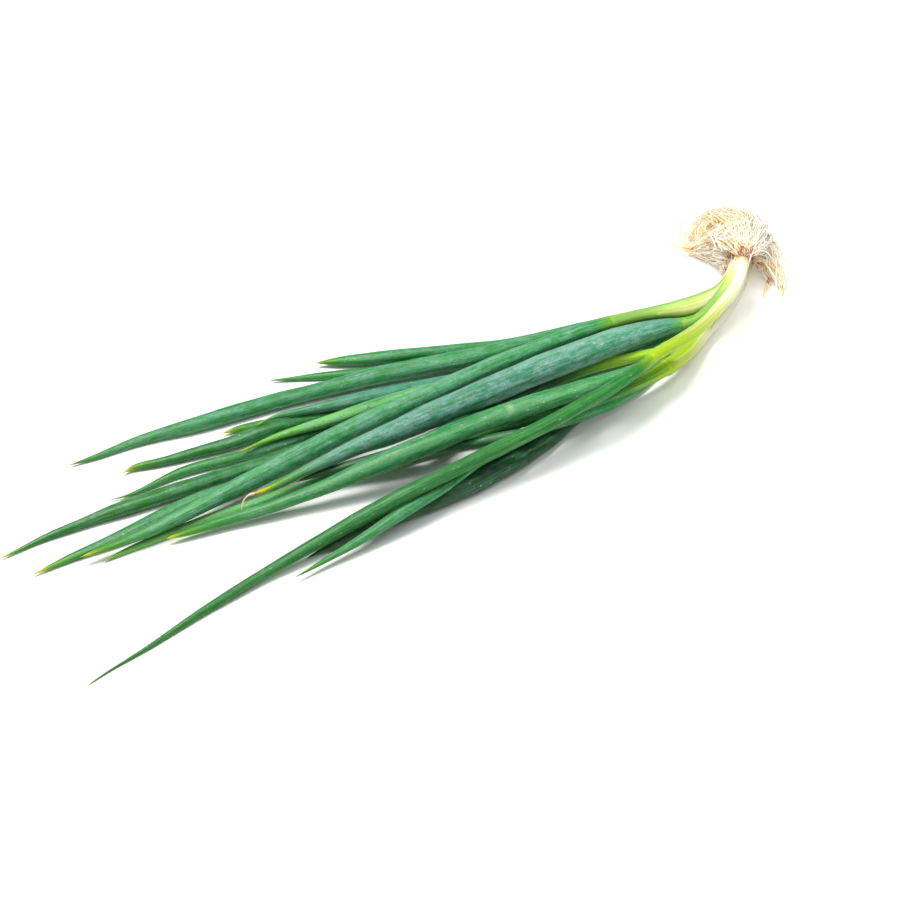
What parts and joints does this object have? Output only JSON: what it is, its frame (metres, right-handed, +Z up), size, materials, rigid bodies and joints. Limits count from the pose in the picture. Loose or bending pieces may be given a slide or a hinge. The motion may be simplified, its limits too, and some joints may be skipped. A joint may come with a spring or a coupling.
{
  "type": "spring onion bunch",
  "caption": "Bunch of spring onions lying flat: long hollow tapering green leaves, pale stems curving to a mop of dry cream roots.",
  "frame": {"origin": "centre of the bounding box's base, on the surface that the bunch lies on", "axes": "+X along the bunch from the leaf tips to the roots, +Y across it towards the far side in the picture, +Z up"},
  "size_m": [0.561, 0.1632, 0.036],
  "materials": {
    "leaf_a": "waxy fresh leaf, saturated mid green with a lighter yellow-green rim",
    "leaf_b": "waxy leaf, mid green with a faint grey bloom",
    "leaf_c": "waxy leaf, deeper blue-green",
    "leaf_e": "waxy leaf, blue-green with a strong grey bloom",
    "stem": "smooth moist skin, lime green at the collar to cream at the roots",
    "roots": "dry fibrous cream rootlets with brown crowns"
  },
  "bodies": {
    "root": {"stem_a": "stem", "leaf_a1": "leaf_a", "leaf_a2": "leaf_a", "stem_b": "stem", "leaf_b1": "leaf_b", "leaf_b2": "leaf_b", "leaf_b3": "leaf_b", "leaf_b4": "leaf_b", "leaf_b5": "leaf_b", "leaf_b6": "leaf_b", "leaf_b7": "leaf_b", "stem_e": "stem", "leaf_e1": "leaf_e", "leaf_e2": "leaf_e", "leaf_e3": "leaf_e", "leaf_e4": "leaf_e", "leaf_e5": "leaf_e", "stem_c": "stem", "leaf_c1": "leaf_c", "leaf_c2": "leaf_c", "leaf_c3": "leaf_c", "leaf_c4": "leaf_c", "leaf_c5": "leaf_c", "roots_a": "roots", "roots_c": "roots", "roots_b": "roots", "roots_e": "roots"}
  },
  "joints": []
}
